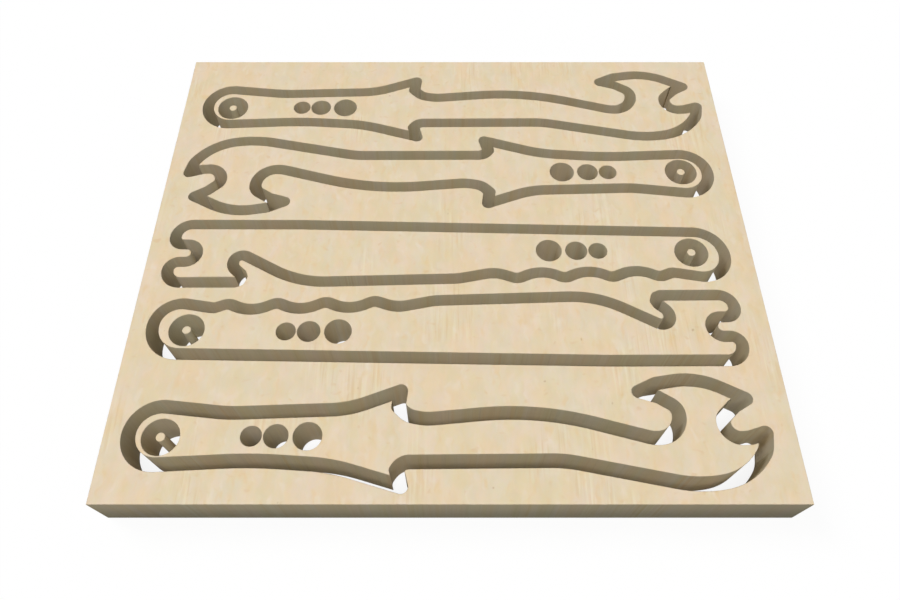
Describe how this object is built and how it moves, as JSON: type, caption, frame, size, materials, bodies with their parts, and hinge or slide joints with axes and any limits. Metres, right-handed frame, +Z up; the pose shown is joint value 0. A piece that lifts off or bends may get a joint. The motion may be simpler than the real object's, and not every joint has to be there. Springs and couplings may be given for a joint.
{
  "type": "flat tool storage board",
  "caption": "Flat wooden board holding long hooked hand tools, each lying in its own through-cut channel with a ringed handle hole.",
  "frame": {"origin": "centre of the board's underside", "axes": "+X to the right along the hooks, +Y from the front edge to the back edge, +Z up out of the board"},
  "size_m": [0.3302, 0.2858, 0.0254],
  "materials": {
    "board_wood": "smooth sanded pale birch, unfinished",
    "hook_wood": "smooth sanded pale birch, unfinished",
    "core_wood": "smooth sanded pale birch, unfinished"
  },
  "bodies": {
    "board": {"board": "board_wood"},
    "guarded_hook_1": {"guarded_hook_1": "hook_wood"},
    "grip_hook_2": {"grip_hook_2": "hook_wood"},
    "grip_hook_3": {"grip_hook_3": "hook_wood"},
    "guarded_hook_4": {"guarded_hook_4": "hook_wood"},
    "guarded_hook_5": {"guarded_hook_5": "hook_wood"},
    "core_1": {"core_1": "core_wood"},
    "core_2": {"core_2": "core_wood"},
    "core_3": {"core_3": "core_wood"},
    "core_4": {"core_4": "core_wood"},
    "core_5": {"core_5": "core_wood"}
  },
  "joints": [
    {"name": "guarded_hook_1_lift", "type": "slide", "parent": "board", "child": "guarded_hook_1", "axis": [0, 0, 1], "range_m": [0, 0.03]},
    {"name": "grip_hook_2_lift", "type": "slide", "parent": "board", "child": "grip_hook_2", "axis": [0, 0, 1], "range_m": [0, 0.03]},
    {"name": "grip_hook_3_lift", "type": "slide", "parent": "board", "child": "grip_hook_3", "axis": [0, 0, 1], "range_m": [0, 0.03]},
    {"name": "guarded_hook_4_lift", "type": "slide", "parent": "board", "child": "guarded_hook_4", "axis": [0, 0, 1], "range_m": [0, 0.03]},
    {"name": "guarded_hook_5_lift", "type": "slide", "parent": "board", "child": "guarded_hook_5", "axis": [0, 0, 1], "range_m": [0, 0.03]},
    {"name": "core_1_lift", "type": "slide", "parent": "board", "child": "core_1", "axis": [0, 0, 1], "range_m": [0, 0.03]},
    {"name": "core_2_lift", "type": "slide", "parent": "board", "child": "core_2", "axis": [0, 0, 1], "range_m": [0, 0.03]},
    {"name": "core_3_lift", "type": "slide", "parent": "board", "child": "core_3", "axis": [0, 0, 1], "range_m": [0, 0.03]},
    {"name": "core_4_lift", "type": "slide", "parent": "board", "child": "core_4", "axis": [0, 0, 1], "range_m": [0, 0.03]},
    {"name": "core_5_lift", "type": "slide", "parent": "board", "child": "core_5", "axis": [0, 0, 1], "range_m": [0, 0.03]}
  ]
}
